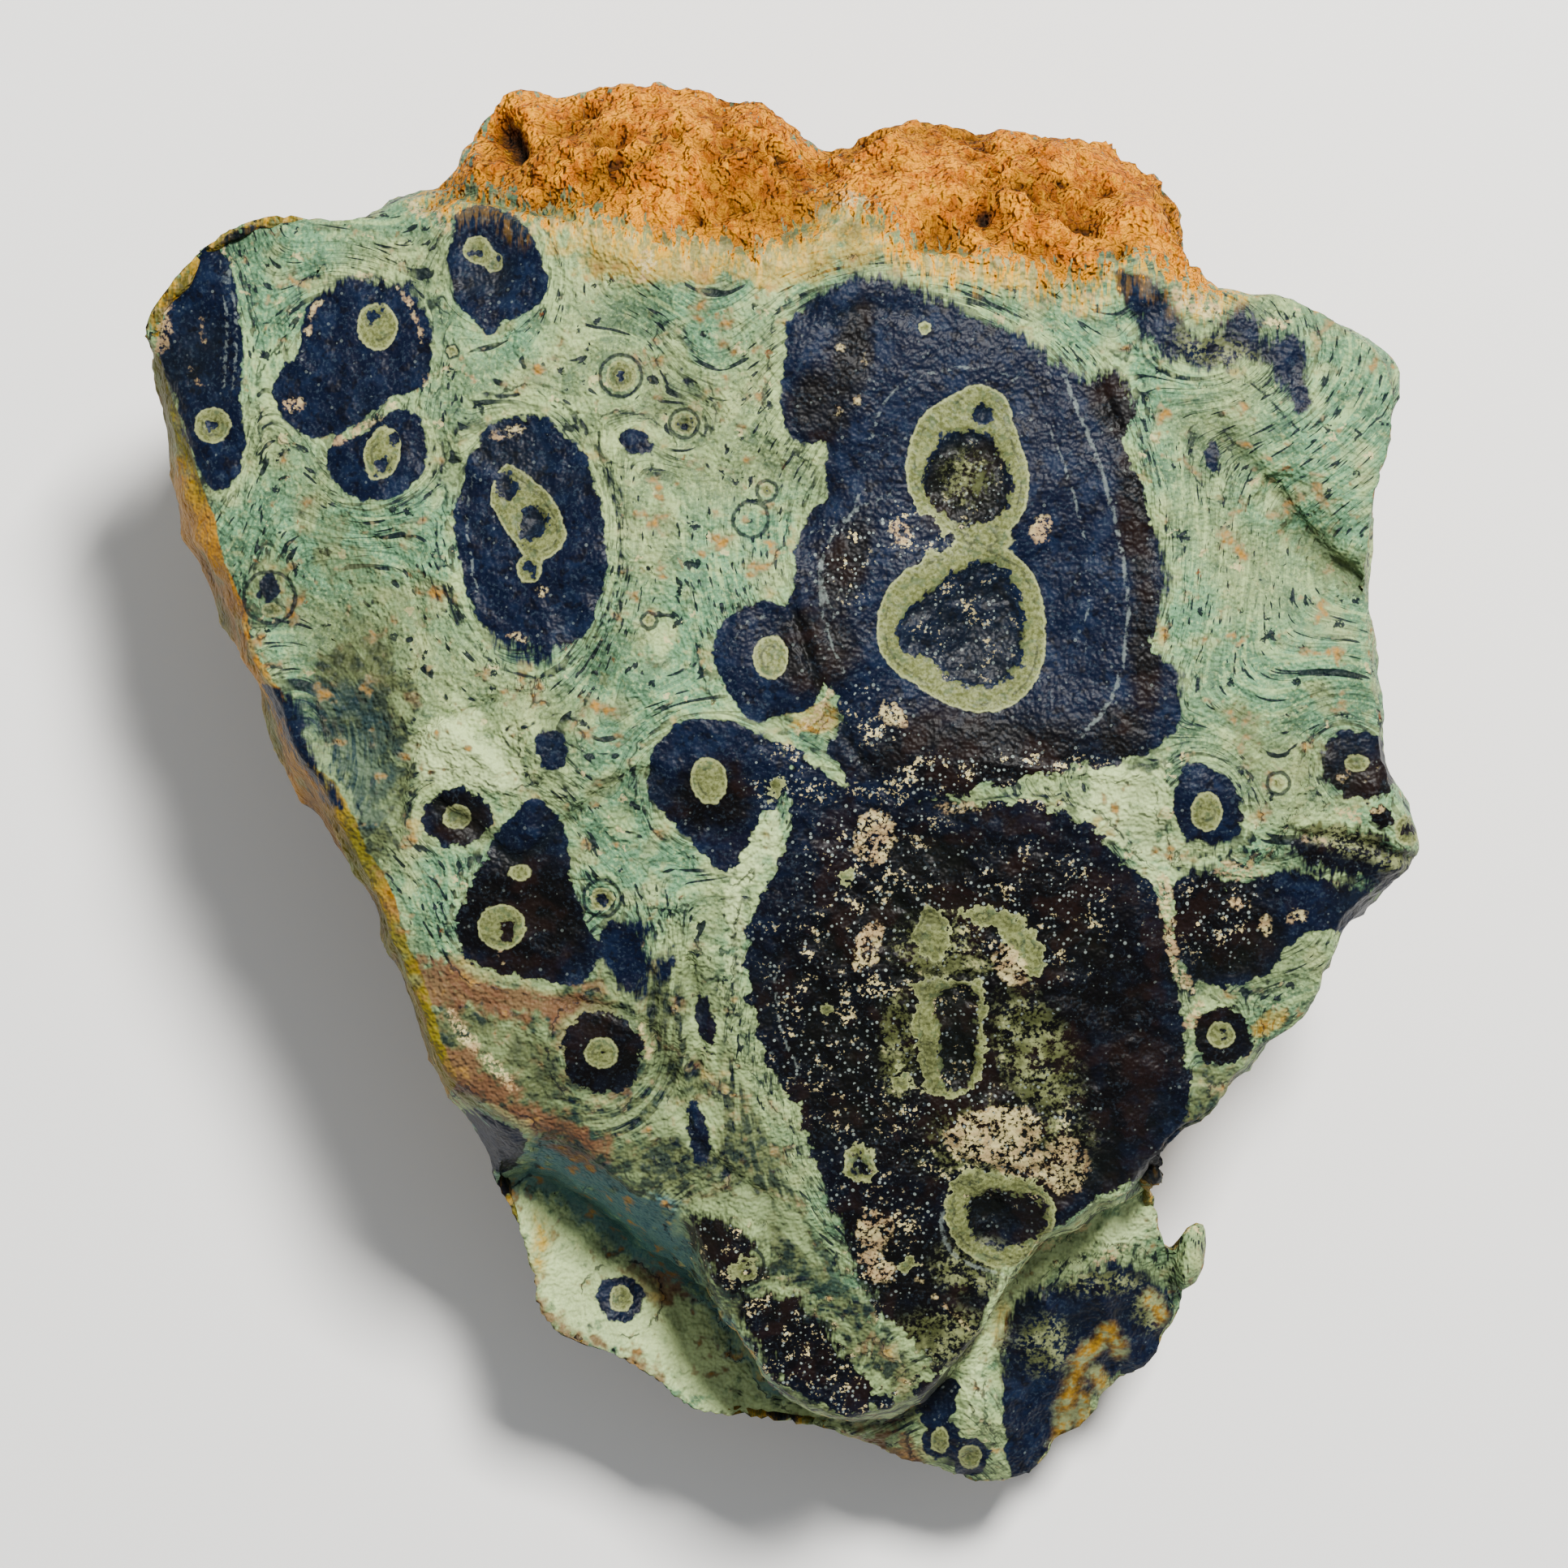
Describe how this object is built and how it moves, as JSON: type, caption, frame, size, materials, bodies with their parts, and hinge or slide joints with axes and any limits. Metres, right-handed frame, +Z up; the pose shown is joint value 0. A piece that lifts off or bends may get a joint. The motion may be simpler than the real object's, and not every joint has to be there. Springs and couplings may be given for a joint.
{
  "type": "kambaba jasper specimen",
  "caption": "Rough unpolished chunk of orbicular green stone with dark eyed orbs and an orange weathered rind, lying on its flat spot with its patterned face up",
  "frame": {"origin": "Under the middle of the stone's box, on the surface that it rests on", "axes": "+Z up, out of the patterned face; +Y towards the orange rind, along the stone's length; +X across it, to the right as the face is looked at from above with the rind away from the viewer"},
  "size_m": [0.124, 0.1396, 0.0507],
  "materials": {
    "jasper": "Rough broken stone: sage green ground with flowing dark fibres, navy to black orbs with olive eyes, an orange weathered rind along one edge and ochre stain on the side walls"
  },
  "bodies": {
    "root": {"kambaba_jasper_stone": "jasper"}
  },
  "joints": []
}
